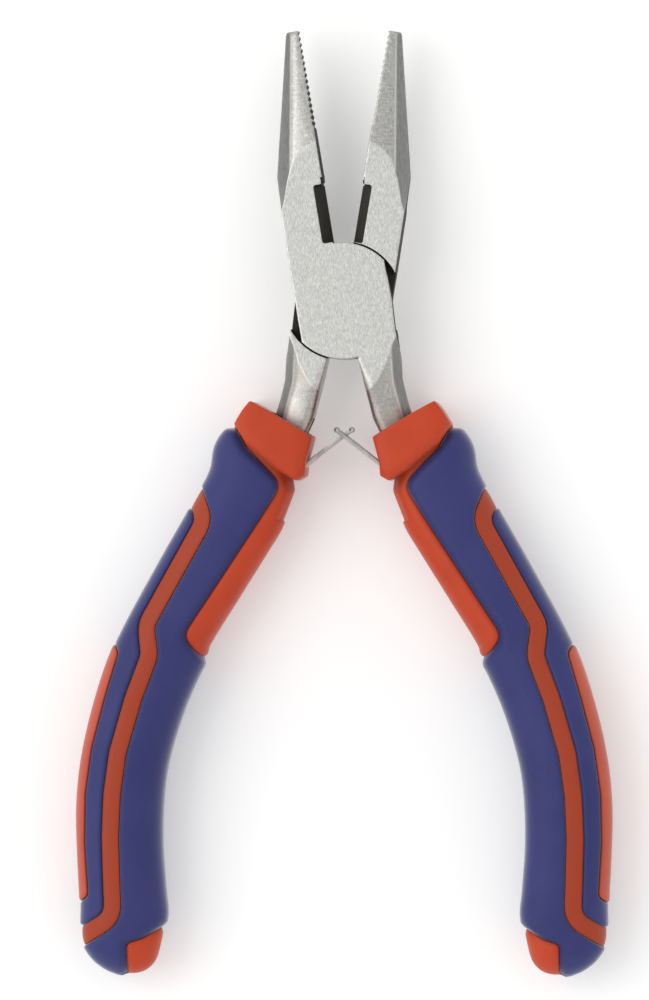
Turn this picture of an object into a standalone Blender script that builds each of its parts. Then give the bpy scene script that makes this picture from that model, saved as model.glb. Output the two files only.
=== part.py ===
"""Needle nose pliers with side cutters, a lap joint, interlocked leaf springs and red and blue grips.

Both halves of the pliers have the same shape. One half is modelled in the closed position, with the
gripping plane on a = 0 and the joint's mid-plane on z = 0: its jaw lies at a < 0, b > 0 and its
handle at a > 0, b < 0. The rear half is the front half turned over about the long axis.
The part stands as it rests, held open by its springs. X is across, Y towards the tips and Z is the
joint's axis. The origin is on that axis, on the back face of the joint.
"""
import math

import bmesh
import bpy
from mathutils import Matrix, Vector

MM = 0.001
PART_NAME = "needle_nose_pliers"

# Driving dimensions, in millimetres unless the name says otherwise.
OPEN_HALF_ANGLE = math.radians(9.35)
JOINT_THICKNESS = 7.6
PLATE_RADIUS = 7.42
SHOULDER_RADIUS = 7.58
LAP_GAP = 0.1
JAW_LENGTH = 35.1
JAW_GAP = 0.06
TOOTH_PITCH = 0.78
TOOTH_DEPTH = 0.18
TOOTH_COUNT = 16
TIP_LAND = 0.1
CUTTER_SPAN = (7.6, 15.1)
CUTTER_BEVEL = 1.3
CUTTER_LAND = 0.3
RIVET_RADIUS = 2.5
RIVET_HEAD_RADIUS = 3.3
RIVET_COVER = 0.6
RUNNING_CLEARANCE = 0.06
PART_CLEARANCE = 0.06
RED_SINK = 0.35
STRIPE_SINK = 0.05
RIB_RISE = 0.15
SHELL_THICKNESS = 0.9
STRIPE_WIDTH = 2.4
SPRING_THICKNESS = 0.55
SPRING_WIDTH = 4.0
SPRING_TONGUE_WIDTH = 1.8
SPRING_SLOT_WIDTH = 2.3
SPRING_TIP_RADIUS = 0.36

# Corner radii of the dividing lines, and how square the rounded sections are (2 is an ellipse).
STRIP_CORNER = 2.0
STRIPE_CORNER = 1.6
RIB_CORNER = 1.0
TAIL_CORNER = 0.7
SPRING_CORNER = 1.5
GRIP_SQUARENESS = 2.5
COLLAR_SQUARENESS = 3.2
TANG_SQUARENESS = 5.0

# How far the side of the nose and tang bulges, and how far their ground form passes the gripping face.
SIDE_BULGE = 0.04
PAST_THE_FACE = 0.6

# Fineness of the mesh, a reach past every piece for cutters, and the distance that merges points.
GRIP_RING_POINTS = 16
COLLAR_RING_POINTS = 20
TANG_RING_POINTS = 12
SHOULDER_STEPS = 96
RIVET_STEPS = 48
ARC_STEPS = 12
BAND_STEPS = 4
SIDE_STEPS = 5
ROLL_STEPS = 8
FAR = 40.0
WELD = 0.001

# Outlines of one closed half, as (a, b) points.
JAW_OUTER = [(-6.0, -4.37), (-6.0, 6.1), (-5.93, 12.9), (-5.83, 17.0), (-1.75, JAW_LENGTH)]
TANG_OUTER = [(6.07, 4.27), (6.2, -0.75), (6.0, -4.6), (6.1, -8.5), (5.8, -11.1), (6.0, -13.8), (6.5, -17.2)]
TANG_INNER = [(1.8, -17.2), (1.3, -15.4), (0.95, -11.0), (0.79, -7.38)]
COLLAR = [(9.54, -14.5), (6.6, -15.5), (0.97, -17.75), (1.3, -21.2), (1.1, -22.8), (2.1, -23.6),
          (5.0, -22.4), (9.2, -19.9), (11.1, -17.75), (10.3, -15.8)]

# The nose and the tang are turned or ground to a depth that falls off along b. Each row is
# b, depth at the gripping side, knuckle a, knuckle depth, outer a: the knuckle divides the front
# from the side.
NOSE_SECTIONS = [
    (36.0, 1.0, 0.87, 0.88, 1.55),
    (JAW_LENGTH, 1.15, 1.05, 1.0, 1.75),
    (26.0, 2.8, 2.52, 2.45, 3.85),
    (17.6, 4.3, 3.9, 3.8, 5.85),
    (15.5, 4.7, 4.2, 4.5, 6.05),
    (13.5, 5.1, 4.9, 5.1, 6.1),
    (12.0, 5.4, 6.0, 5.4, 6.4),
    (10.5, 5.6, 7.2, 5.5, 7.6),
]
TANG_SECTIONS = [
    (-3.5, 5.6, 7.2, 5.5, 7.6),
    (-5.3, 5.3, 6.0, 4.4, 6.5),
    (-7.0, 5.0, 5.1, 3.8, 6.2),
    (-9.0, 4.5, 4.85, 3.3, 6.1),
    (-11.2, 3.9, 4.65, 2.85, 5.9),
    (-13.6, 3.2, 4.85, 2.5, 6.1),
    (-17.4, 2.7, 5.3, 2.3, 6.7),
]

# Between these the forging keeps its full thickness.
NOSE_START = 11.0
TANG_START = -4.0

# The tang inside the grip: b, centre a, half width, half depth.
TANG_INSERT = [
    (-16.4, 4.0, 2.1, 2.1),
    (-19.5, 5.0, 2.1, 2.1),
    (-24.0, 6.6, 2.0, 2.1),
    (-31.0, 9.0, 2.0, 2.0),
    (-40.0, 12.8, 1.9, 1.9),
    (-50.0, 16.4, 1.8, 1.7),
    (-60.0, 18.0, 1.5, 1.5),
]

# The collar's mouth around the tang, wider than the tang, in the same terms.
COLLAR_MOUTH = [(-13.0, 3.7, 3.0, 3.9), (-18.6, 4.3, 2.85, 2.9)]
POCKET_EXTRA = 0.4

# Grip silhouettes and depth as (b, value) knots. The blue surface stands proud of the red one.
GRIP_OUTER = [(-16.5, 10.4), (-17.6, 11.6), (-19.3, 12.85), (-21.2, 13.45), (-24.0, 13.5), (-27.4, 14.6),
              (-37.3, 18.25), (-48.0, 21.85), (-55.3, 23.15), (-63.0, 23.65), (-69.3, 23.25), (-75.3, 22.15),
              (-81.4, 20.85), (-84.3, 20.4), (-86.7, 19.7), (-88.4, 18.2), (-89.4, 16.4), (-89.8, 14.9)]
GRIP_INNER = [(-16.5, 1.9), (-21.0, 1.7), (-24.5, 1.75), (-28.5, 2.4), (-30.3, 2.8), (-33.5, 4.1),
              (-40.2, 6.9), (-46.4, 9.45), (-47.7, 9.55), (-50.0, 10.35), (-55.0, 11.6), (-61.3, 12.45),
              (-66.0, 12.4), (-72.0, 11.6), (-78.0, 10.2), (-81.0, 9.45), (-85.0, 9.45), (-87.2, 9.75),
              (-88.6, 10.6), (-89.4, 11.8), (-89.8, 13.3)]
GRIP_DEPTH = [(-16.5, 4.5), (-20.0, 5.0), (-30.0, 5.1), (-46.0, 5.4), (-62.0, 5.5), (-76.0, 5.1),
              (-83.0, 4.75), (-86.5, 4.2), (-88.4, 3.1), (-89.4, 1.9), (-89.8, 0.9)]
GRIP_STATIONS = [-16.5, -17.6, -19.3, -21.2, -24.5, -28.5, -34.0, -40.0, -46.4, -47.7, -50.0, -55.0,
                 -60.0, -65.0, -70.0, -75.5, -81.2, -84.3, -86.7, -88.4, -89.4, -89.8]
CORE_END = -88.3

# Lines in the front view that divide red from blue, as (a, b) corners with a corner radius.
COLLAR_AND_STRIP_EDGE = [(14.0, -16.3), (11.25, -18.1), (9.4, -20.4), (3.5, -24.4), (13.1, -45.7),
                         (6.0, -50.3)]
STRIPE_LINE = [(18.5, -22.0), (13.0, -30.4), (18.15, -44.8), (16.95, -48.6), (18.1, -54.4), (18.95, -61.6),
               (18.8, -67.0), (18.15, -72.4), (17.0, -78.4), (16.2, -82.4), (23.5, -88.6)]
RIB_EDGE = [(24.0, -45.8), (21.1, -48.9), (21.85, -55.0), (22.45, -61.5), (22.3, -67.5), (21.4, -73.6),
            (19.9, -80.2), (22.5, -83.0)]
TAIL_EDGE = [(6.0, -80.6), (11.8, -84.5), (13.9, -85.5), (13.0, -92.0)]

# The exposed and the embedded run of a leaf spring, from its tip to its root, in the closed frame.
SPRING_LINE = [(-3.62, -16.05), (-1.35, -18.45), (1.44, -21.5), (2.3, -23.0), (3.1, -25.5)]
SPRING_SLOT_SPAN = (0.6, 4.0)
SPRING_TONGUE_SPAN = (0.6, 5.4)

# The collar's rounded form: b, centre a, half width.
COLLAR_AXIS = [(-13.0, 5.9, 5.2), (-25.0, 7.0, 6.2)]
COLLAR_HALF_DEPTH = 5.7


def clear_scene():
    """Remove every object, so that the script can be run again."""
    for obj in list(bpy.data.objects):
        bpy.data.objects.remove(obj, do_unlink=True)


def make_collection(name):
    collection = bpy.data.collections.new(name)
    bpy.context.scene.collection.children.link(collection)
    return collection


def make_material(name, colour, roughness, metallic):
    """A plain Principled material."""
    material = bpy.data.materials.new(name)
    material.use_nodes = True
    shader = material.node_tree.nodes["Principled BSDF"]
    shader.inputs["Base Color"].default_value = (*colour, 1.0)
    shader.inputs["Roughness"].default_value = roughness
    shader.inputs["Metallic"].default_value = metallic
    return material


def interpolate(knots, position):
    """Smooth value at a position, by cubic pieces through (position, value) knots that fall."""
    count = len(knots)
    index = 0
    while index < count - 2 and position < knots[index + 1][0]:
        index += 1

    def slope(knot):
        before = knots[max(knot - 1, 0)]
        after = knots[min(knot + 1, count - 1)]
        return (after[1] - before[1]) / (after[0] - before[0])

    (start, first), (end, last) = knots[index], knots[index + 1]
    span = end - start
    t = (position - start) / span
    return (
        first * (1 + 2 * t) * (1 - t) ** 2
        + slope(index) * span * t * (1 - t) ** 2
        + last * t ** 2 * (3 - 2 * t)
        + slope(index + 1) * span * t ** 2 * (t - 1)
    )


def angle_of(point):
    """A point's angle about the joint's axis, in degrees."""
    return math.degrees(math.atan2(point[1], point[0]))


def arc(radius, start, end, steps):
    """Points on a circle about the joint's axis, by angle in degrees."""
    angles = [math.radians(start + (end - start) * step / steps) for step in range(steps + 1)]
    return [(radius * math.cos(angle), radius * math.sin(angle)) for angle in angles]


def rounded(corners, radius, steps=3):
    """A polyline whose inner corners are replaced by arcs of about the given radius."""
    points = [Vector(corners[0])]
    for before, corner, after in zip(corners, corners[1:], corners[2:]):
        corner = Vector(corner)
        to_before = Vector(before) - corner
        to_after = Vector(after) - corner
        half_angle = to_before.angle(to_after) / 2
        reach = min(radius / math.tan(half_angle), 0.45 * to_before.length, 0.45 * to_after.length)
        start = corner + to_before.normalized() * reach
        end = corner + to_after.normalized() * reach
        bend = math.pi - 2 * half_angle
        count = max(1, round(steps * bend / (math.pi / 2)))
        for step in range(count + 1):
            t = step / count
            points.append(start * (1 - t) ** 2 + corner * (2 * t * (1 - t)) + end * t ** 2)
    points.append(Vector(corners[-1]))
    return points


def side_line(points, distance):
    """The polyline at a distance to the left of another."""
    points = [Vector(point) for point in points]
    shifted = []
    for index, point in enumerate(points):
        before = points[max(index - 1, 0)]
        after = points[min(index + 1, len(points) - 1)]
        normals = [Vector((-(b - a).y, (b - a).x)).normalized()
                   for a, b in ((before, point), (point, after)) if (b - a).length > 0]
        normal = sum(normals, Vector((0.0, 0.0))).normalized()
        shifted.append(point + normal * (distance / normal.dot(normals[0])))
    return shifted


def link_mesh(name, bm):
    mesh = bpy.data.meshes.new(name)
    bmesh.ops.recalc_face_normals(bm, faces=bm.faces)
    bm.to_mesh(mesh)
    bm.free()
    obj = bpy.data.objects.new(name, mesh)
    bpy.context.scene.collection.objects.link(obj)
    return obj


def plate(name, outline, low, high, upright=False):
    """A flat outline in millimetres, extruded from low to high along z.

    An upright plate has its outline in the a-z plane and is extruded along b.
    """
    curve = bpy.data.curves.new(name, "CURVE")
    curve.dimensions = "2D"
    curve.fill_mode = "BOTH"
    curve.extrude = (high - low) / 2 * MM
    spline = curve.splines.new("POLY")
    spline.points.add(len(outline) - 1)
    for point, (x, y) in zip(spline.points, outline):
        point.co = (x * MM, y * MM, 0.0, 1.0)
    spline.use_cyclic_u = True
    holder = bpy.data.objects.new(name, curve)
    bpy.context.scene.collection.objects.link(holder)
    middle = (low + high) / 2 * MM
    if upright:
        holder.matrix_world = Matrix.Translation((0, middle, 0)) @ Matrix.Rotation(math.pi / 2, 4, "X")
    else:
        holder.matrix_world = Matrix.Translation((0, 0, middle))
    bpy.context.view_layer.update()
    evaluated = holder.evaluated_get(bpy.context.evaluated_depsgraph_get())
    bm = bmesh.new()
    bm.from_mesh(bpy.data.meshes.new_from_object(evaluated))
    bm.transform(holder.matrix_world)
    bmesh.ops.remove_doubles(bm, verts=bm.verts, dist=WELD * MM)
    bpy.data.objects.remove(holder)
    return link_mesh(name, bm)


def loft(name, rings):
    """A closed solid through rings of points that match one to one."""
    bm = bmesh.new()
    rows = [[bm.verts.new(Vector(point) * MM) for point in ring] for ring in rings]
    for row, following in zip(rows, rows[1:]):
        for index in range(len(row)):
            after = (index + 1) % len(row)
            bm.faces.new((row[index], row[after], following[after], following[index]))
    bm.faces.new(rows[0])
    bm.faces.new(rows[-1])
    bmesh.ops.triangulate(bm, faces=bm.faces)
    return link_mesh(name, bm)


def turned(name, profile, steps):
    """A turned solid from (radius, z) points that run down its outer side."""
    mesh = bpy.data.meshes.new(name)
    vertices = [(radius * MM, 0.0, z * MM) for radius, z in profile]
    edges = [(index, index + 1) for index in range(len(vertices) - 1)]
    mesh.from_pydata(vertices, edges, [])
    obj = bpy.data.objects.new(name, mesh)
    bpy.context.scene.collection.objects.link(obj)
    screw = obj.modifiers.new("Turn", "SCREW")
    screw.steps = steps
    screw.render_steps = steps
    screw.use_merge_vertices = True
    screw.merge_threshold = WELD * MM
    return settle(obj)


def settle(obj):
    """Replace an object's mesh with the evaluated one and drop its modifiers."""
    bpy.context.view_layer.update()
    evaluated = obj.evaluated_get(bpy.context.evaluated_depsgraph_get())
    mesh = bpy.data.meshes.new_from_object(evaluated)
    obj.modifiers.clear()
    obj.data = mesh
    return obj


def combine(obj, other, operation):
    """Apply one exact Boolean and remove the other object."""
    boolean = obj.modifiers.new("Combine", "BOOLEAN")
    boolean.object = other
    boolean.operation = operation
    settle(obj)
    bpy.data.objects.remove(other)
    bm = bmesh.new()
    bm.from_mesh(obj.data)
    bmesh.ops.dissolve_degenerate(bm, dist=WELD * MM, edges=bm.edges)
    bmesh.ops.remove_doubles(bm, verts=bm.verts, dist=WELD * MM)
    bmesh.ops.triangulate(bm, faces=bm.faces)
    bm.to_mesh(obj.data)
    bm.free()
    return obj


def ground_ring(b, depth, knuckle, knuckle_depth, outer, side):
    """Section of the nose or tang: a curved front band, a knuckle and a side, mirrored in z.

    The gripping side is left wide, because the forging's outline cuts it. side is -1 for the jaw.
    """
    inner = -PAST_THE_FACE
    front = []
    for step in range(BAND_STEPS):
        t = step / BAND_STEPS
        across = inner + (knuckle - inner) * t
        front.append((across, depth + (knuckle_depth - depth) * t ** 2))
    for step in range(SIDE_STEPS):
        t = step / SIDE_STEPS
        bulge = SIDE_BULGE * knuckle_depth * math.sin(math.pi * t)
        across = knuckle + (outer - knuckle) * math.sin(t * math.pi / 2) + bulge
        front.append((across, knuckle_depth * (1 - t) + bulge))
    back = [(across, -z) for across, z in reversed(front)]
    ring = front + [(outer, 0.0)] + back
    return [(across * side, b, z) for across, z in ring]


def tooth_cutter():
    """A saw-edged plate that cuts the teeth into the gripping face."""
    face = -JAW_GAP / 2
    first = JAW_LENGTH - TIP_LAND
    last = first - TOOTH_COUNT * TOOTH_PITCH
    points = [(PAST_THE_FACE, first)]
    for tooth in range(TOOTH_COUNT):
        top = first - tooth * TOOTH_PITCH
        points.append((face, top))
        points.append((face - TOOTH_DEPTH, top - TOOTH_PITCH / 2))
    points.append((face, last))
    points.append((PAST_THE_FACE, last))
    return plate("teeth", points, -FAR, FAR)


def forging_outline():
    """Front view of one forged half: jaw, joint plate and tang."""
    face = -JAW_GAP / 2
    upper_arc = arc(PLATE_RADIUS, 90.2, angle_of(TANG_OUTER[0]), ARC_STEPS)
    lower_arc = arc(PLATE_RADIUS, 360.0 + angle_of(TANG_INNER[-1]), 360.0 + angle_of(JAW_OUTER[0]), ARC_STEPS)
    return [(face, JAW_LENGTH)] + upper_arc + TANG_OUTER[1:] + TANG_INNER[:-1] + lower_arc + JAW_OUTER[1:]


def ground_to(forging, sections, side, untouched):
    """Intersect the forging with a ground form, except over an untouched part of its outline."""
    envelope = loft("envelope", [ground_ring(*row, side) for row in sections])
    combine(envelope, plate("untouched", untouched, -FAR, FAR), "UNION")
    combine(forging, envelope, "INTERSECT")


def make_forging(name):
    """One steel half, without the rivet's hole."""
    half = JOINT_THICKNESS / 2
    forging = plate(name, forging_outline(), -half, half)
    ground_to(forging, NOSE_SECTIONS, -1, [(-FAR, -FAR), (FAR, -FAR), (FAR, NOSE_START), (-FAR, NOSE_START)])
    beside_tang = TANG_INNER[-1][0] + WELD
    below_plate = -PLATE_RADIUS - 1.0
    untouched = [(-FAR, below_plate), (beside_tang, below_plate), (beside_tang, TANG_START)]
    untouched += [(FAR, TANG_START), (FAR, FAR), (-FAR, FAR)]
    ground_to(forging, TANG_SECTIONS, 1, untouched)
    combine(forging, loft("insert", tang_rings()), "UNION")
    recess = [(0, LAP_GAP / 2), (SHOULDER_RADIUS, LAP_GAP / 2), (SHOULDER_RADIUS, -FAR), (0, -FAR)]
    combine(forging, turned("recess", recess, SHOULDER_STEPS), "DIFFERENCE")
    combine(forging, tooth_cutter(), "DIFFERENCE")
    for side in (1, -1):
        bevel = [(-CUTTER_BEVEL, side * half), (-JAW_GAP / 2, side * CUTTER_LAND / 2),
                 (PAST_THE_FACE, side * CUTTER_LAND / 2), (PAST_THE_FACE, side * FAR),
                 (-CUTTER_BEVEL, side * FAR)]
        combine(forging, plate("bevel", bevel, *CUTTER_SPAN, upright=True), "DIFFERENCE")
    return forging


def tang_rings():
    """Rounded rectangular rings of the tang inside the grip."""
    return [super_ring(b, centre, half_width, half_depth, TANG_SQUARENESS, TANG_RING_POINTS)
            for b, centre, half_width, half_depth in TANG_INSERT]


def tang_pocket_rings():
    """Rings of the pocket for the tang, open at the top of the collar."""
    rows = COLLAR_MOUTH + [(b, centre, half_width + PART_CLEARANCE, half_depth + PART_CLEARANCE)
                    for b, centre, half_width, half_depth in TANG_INSERT[1:]]
    b, *section = rows[-1]
    rows[-1] = (b - POCKET_EXTRA, *section)
    return [super_ring(b, centre, half_width, half_depth, TANG_SQUARENESS, TANG_RING_POINTS)
            for b, centre, half_width, half_depth in rows]


def super_ring(b, centre, half_width, half_depth, power, count):
    """A superellipse ring across the b axis."""
    ring = []
    for index in range(count):
        angle = 2 * math.pi * (index + 0.5) / count
        across = math.copysign(abs(math.cos(angle)) ** (2 / power), math.cos(angle))
        deep = math.copysign(abs(math.sin(angle)) ** (2 / power), math.sin(angle))
        ring.append((centre + across * half_width, b, deep * half_depth))
    return ring


def grip_loft(name, sink, end=None):
    """The grip's outer form, sunk below the blue surface by a distance."""
    stations = [b for b in GRIP_STATIONS if end is None or b > end]
    if end is not None:
        stations.append(end)
    rings = []
    for b in stations:
        outer = interpolate(GRIP_OUTER, b) - sink
        inner = interpolate(GRIP_INNER, b) + sink
        depth = interpolate(GRIP_DEPTH, b) - sink
        rings.append(super_ring(b, (outer + inner) / 2, (outer - inner) / 2, depth,
                                GRIP_SQUARENESS, GRIP_RING_POINTS))
    return loft(name, rings)


def points_of(vectors):
    return [tuple(vector) for vector in vectors]


def strip_region(shift):
    """Front view of the collar's groove and the inner strip, closed on the inner side."""
    edge = side_line(rounded(COLLAR_AND_STRIP_EDGE, STRIP_CORNER), shift)
    return points_of(edge) + [(-8.0, -50.3), (-8.0, -12.0), (14.0, -12.0)]


def stripe_region(growth):
    """Front view of the zigzag stripe, a band of constant width."""
    line = rounded(STRIPE_LINE, STRIPE_CORNER)
    left = side_line(line, STRIPE_WIDTH / 2 + growth)
    right = side_line(line, -STRIPE_WIDTH / 2 - growth)
    return points_of(left + right[::-1])


def rib_region(shift):
    """Front view of the outer rib, closed outside the grip."""
    edge = side_line(rounded(RIB_EDGE, RIB_CORNER), shift)
    return points_of(edge) + [(30.0, -83.0), (30.0, -45.8)]


def tail_region(shift):
    """Front view of the tail patch, closed outside the grip."""
    edge = side_line(rounded(TAIL_EDGE, TAIL_CORNER), shift)
    return points_of(edge) + [(-8.0, -92.0), (-8.0, -80.6)]


def pad_region():
    """Front view of everything on the outer side of the stripe."""
    edge = points_of(side_line(rounded(STRIPE_LINE, STRIPE_CORNER), STRIPE_WIDTH / 2))
    return edge + [(FAR, edge[-1][1]), (FAR, edge[0][1])]


def spring_outline(thickness, tip_radius):
    """Edge view of a leaf: a strip along the spring's line with a rolled tip."""
    line = rounded(SPRING_LINE, SPRING_CORNER)
    left = side_line(line, thickness / 2)
    right = side_line(line, -thickness / 2)
    if not tip_radius:
        return points_of(left + right[::-1])
    tip = Vector(SPRING_LINE[0])
    along = (tip - Vector(SPRING_LINE[1])).normalized()
    across = Vector((-along.y, along.x))
    roll = []
    for step in range(ROLL_STEPS + 1):
        angle = math.radians(135 - 270 * step / ROLL_STEPS)
        roll.append(tip + (along * math.cos(angle) + across * math.sin(angle)) * tip_radius)
    return points_of(right[:0:-1] + roll + left[1:])


def make_core(name):
    """The red core: collar, inner strip, stripe, outer rib and tail patch around a sunk middle."""
    core = grip_loft(name, SHELL_THICKNESS, CORE_END)
    for region, sink in ((strip_region(0.0), RED_SINK), (stripe_region(0.0), STRIPE_SINK),
                         (tail_region(0.0), RED_SINK), (rib_region(0.0), -RIB_RISE)):
        raised = grip_loft("raised", sink)
        combine(raised, plate("region", region, -FAR, FAR), "INTERSECT")
        combine(core, raised, "UNION")
    collar = loft("collar", [super_ring(b, centre, half_width, COLLAR_HALF_DEPTH,
                                        COLLAR_SQUARENESS, COLLAR_RING_POINTS)
                             for b, centre, half_width in COLLAR_AXIS])
    combine(collar, plate("outline", COLLAR, -FAR, FAR), "INTERSECT")
    combine(core, collar, "UNION")
    combine(core, loft("pocket", tang_pocket_rings()), "DIFFERENCE")
    slot = spring_outline(SPRING_THICKNESS + 2 * PART_CLEARANCE, 0.0)
    half = SPRING_WIDTH / 2 + PART_CLEARANCE
    combine(core, plate("slot", slot, -half, half), "DIFFERENCE")
    return core


def make_shell(name):
    """The whole blue overmould, hollow for the core and parted by the red strips."""
    shell = grip_loft(name, 0.0)
    hollow = grip_loft("hollow", SHELL_THICKNESS - PART_CLEARANCE, CORE_END - PART_CLEARANCE)
    combine(shell, hollow, "DIFFERENCE")
    for region in (strip_region(PART_CLEARANCE), stripe_region(PART_CLEARANCE),
                   tail_region(PART_CLEARANCE)):
        combine(shell, plate("region", region, -FAR, FAR), "DIFFERENCE")
    return shell


def make_overmould(name):
    """The main blue overmould, on the inner side of the stripe."""
    shell = make_shell(name)
    return combine(shell, plate("pad", pad_region(), -FAR, FAR), "DIFFERENCE")


def make_pad(name):
    """The blue pad on the outer side of the stripe, a ring around the outer rib."""
    shell = make_shell(name)
    combine(shell, plate("pad", pad_region(), -FAR, FAR), "INTERSECT")
    return combine(shell, plate("rib", rib_region(-PART_CLEARANCE), -FAR, FAR), "DIFFERENCE")


def stretch_of(points, start, end):
    """The stretch of a polyline between two distances from its first point."""
    stretch = []
    walked = 0.0
    for first, second in zip(points, points[1:]):
        length = (second - first).length
        for distance in (start, end):
            if walked <= distance < walked + length:
                stretch.append(first.lerp(second, (distance - walked) / length))
        walked += length
        if start < walked < end:
            stretch.append(second)
    return sorted(stretch, key=lambda point: (point - points[0]).length)


def make_spring(name, has_tongue):
    """A leaf spring. One leaf is a narrow tongue with a wider head, the other has the slot for it."""
    outline = spring_outline(SPRING_THICKNESS, SPRING_TIP_RADIUS)
    spring = plate(name, outline, -SPRING_WIDTH / 2, SPRING_WIDTH / 2)
    span = SPRING_TONGUE_SPAN if has_tongue else SPRING_SLOT_SPAN
    line = stretch_of(rounded(SPRING_LINE, SPRING_CORNER), *span)
    band = points_of(side_line(line, SPRING_WIDTH / 4) + side_line(line, -SPRING_WIDTH / 4)[::-1])
    if not has_tongue:
        slot = plate("slot", band, -SPRING_SLOT_WIDTH / 2, SPRING_SLOT_WIDTH / 2)
        return combine(spring, slot, "DIFFERENCE")
    for low, high in ((SPRING_TONGUE_WIDTH / 2, FAR), (-FAR, -SPRING_TONGUE_WIDTH / 2)):
        combine(spring, plate("side", band, low, high), "DIFFERENCE")
    return spring


def make_rivet(name):
    """The joint pin: its front end is covered by the front plate, its flush head is on the back."""
    half = JOINT_THICKNESS / 2
    top = half - RIVET_COVER - LAP_GAP
    taper = RIVET_HEAD_RADIUS - RIVET_RADIUS
    profile = [(0, top), (RIVET_RADIUS - 0.2, top), (RIVET_RADIUS, top - 0.2),
               (RIVET_RADIUS, -half + taper), (RIVET_HEAD_RADIUS, -half), (0, -half)]
    return turned(name, profile, RIVET_STEPS)


def rivet_hole(front):
    """The cutter for the rivet: blind in the front half, through and countersunk in the rear half."""
    half = JOINT_THICKNESS / 2
    radius = RIVET_RADIUS + RUNNING_CLEARANCE
    profile = [(0, half - RIVET_COVER), (radius, half - RIVET_COVER), (radius, -FAR), (0, -FAR)]
    if not front:
        head = RIVET_HEAD_RADIUS + RUNNING_CLEARANCE
        taper_end = half - head + radius
        profile = [(0, FAR), (head, FAR), (head, half), (radius, taper_end), (radius, -FAR), (0, -FAR)]
    return turned("hole", profile, RIVET_STEPS)


def finish(obj, collection, material, parent, turned_over):
    """Give a piece its material, its collection and its place on a half of the pliers."""
    obj.data.materials.clear()
    obj.data.materials.append(material)
    obj.data.shade_smooth()
    obj.data.set_sharp_from_angle(angle=math.radians(30))
    bpy.context.scene.collection.objects.unlink(obj)
    collection.objects.link(obj)
    obj.parent = parent
    if turned_over:
        obj.rotation_euler = (0.0, math.pi, 0.0)


def make_pivot(name, angle):
    """An empty on the joint's axis, turned to one half's open position."""
    empty = bpy.data.objects.new(name, None)
    empty.location = (0.0, 0.0, JOINT_THICKNESS / 2 * MM)
    empty.rotation_euler = (0.0, 0.0, angle)
    bpy.context.scene.collection.objects.link(empty)
    return empty


def main():
    clear_scene()
    collection = make_collection(PART_NAME)
    steel = make_material("steel", (0.62, 0.61, 0.59), 0.35, 1.0)
    rivet_steel = make_material("rivet_steel", (0.55, 0.54, 0.53), 0.4, 1.0)
    spring_steel = make_material("spring_steel", (0.66, 0.65, 0.63), 0.25, 1.0)
    red = make_material("red_core", (0.50, 0.065, 0.03), 0.5, 0.0)
    blue = make_material("blue_overmould", (0.055, 0.058, 0.19), 0.6, 0.0)
    for half, angle, over in (("front", OPEN_HALF_ANGLE, False), ("rear", -OPEN_HALF_ANGLE, True)):
        pivot = make_pivot("pivot_" + half, angle)
        lever = combine(make_forging("lever_" + half), rivet_hole(not over), "DIFFERENCE")
        finish(lever, collection, steel, pivot, over)
        finish(make_core("core_" + half), collection, red, pivot, over)
        finish(make_overmould("overmould_" + half), collection, blue, pivot, over)
        finish(make_pad("pad_" + half), collection, blue, pivot, over)
        finish(make_spring("spring_" + half, over), collection, spring_steel, pivot, over)
        if over:
            finish(make_rivet("rivet"), collection, rivet_steel, pivot, False)


main()
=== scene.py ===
"""The looks of small needle nose pliers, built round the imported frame.

Both halves have one shape. Each is modelled in millimetres in the closed position, with the gripping
plane on a = 0 and the joint's mid-plane on z = 0: jaw at a < 0, b > 0, handle at a > 0, b < 0. The
rear half is the front half turned over about the long axis. Both are then opened to their rest place.
"""
import math

import bmesh
import bpy
import numpy as np
from mathutils import Matrix, Vector
from mathutils.geometry import delaunay_2d_cdt
from mathutils.kdtree import KDTree
from numpy.linalg import norm


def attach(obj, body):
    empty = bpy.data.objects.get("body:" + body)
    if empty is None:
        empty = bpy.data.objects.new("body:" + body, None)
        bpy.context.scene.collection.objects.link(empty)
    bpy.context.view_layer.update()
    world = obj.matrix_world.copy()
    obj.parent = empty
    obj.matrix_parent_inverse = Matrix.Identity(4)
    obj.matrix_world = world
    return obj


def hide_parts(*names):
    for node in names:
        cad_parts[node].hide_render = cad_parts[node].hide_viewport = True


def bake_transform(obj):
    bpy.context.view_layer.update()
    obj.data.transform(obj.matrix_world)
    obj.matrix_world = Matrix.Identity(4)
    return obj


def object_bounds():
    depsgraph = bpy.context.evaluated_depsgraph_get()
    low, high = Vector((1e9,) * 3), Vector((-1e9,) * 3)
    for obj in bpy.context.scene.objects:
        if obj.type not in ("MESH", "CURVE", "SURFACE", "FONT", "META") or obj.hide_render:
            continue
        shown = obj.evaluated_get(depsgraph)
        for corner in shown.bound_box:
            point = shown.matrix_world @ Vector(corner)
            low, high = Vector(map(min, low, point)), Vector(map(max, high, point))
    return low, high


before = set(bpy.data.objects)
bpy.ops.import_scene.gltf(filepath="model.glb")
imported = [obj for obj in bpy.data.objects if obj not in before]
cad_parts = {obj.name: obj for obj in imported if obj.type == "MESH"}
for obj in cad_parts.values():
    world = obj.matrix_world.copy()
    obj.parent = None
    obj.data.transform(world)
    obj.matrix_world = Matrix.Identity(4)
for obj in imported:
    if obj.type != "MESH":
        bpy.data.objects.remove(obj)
CAD_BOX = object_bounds()

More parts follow.
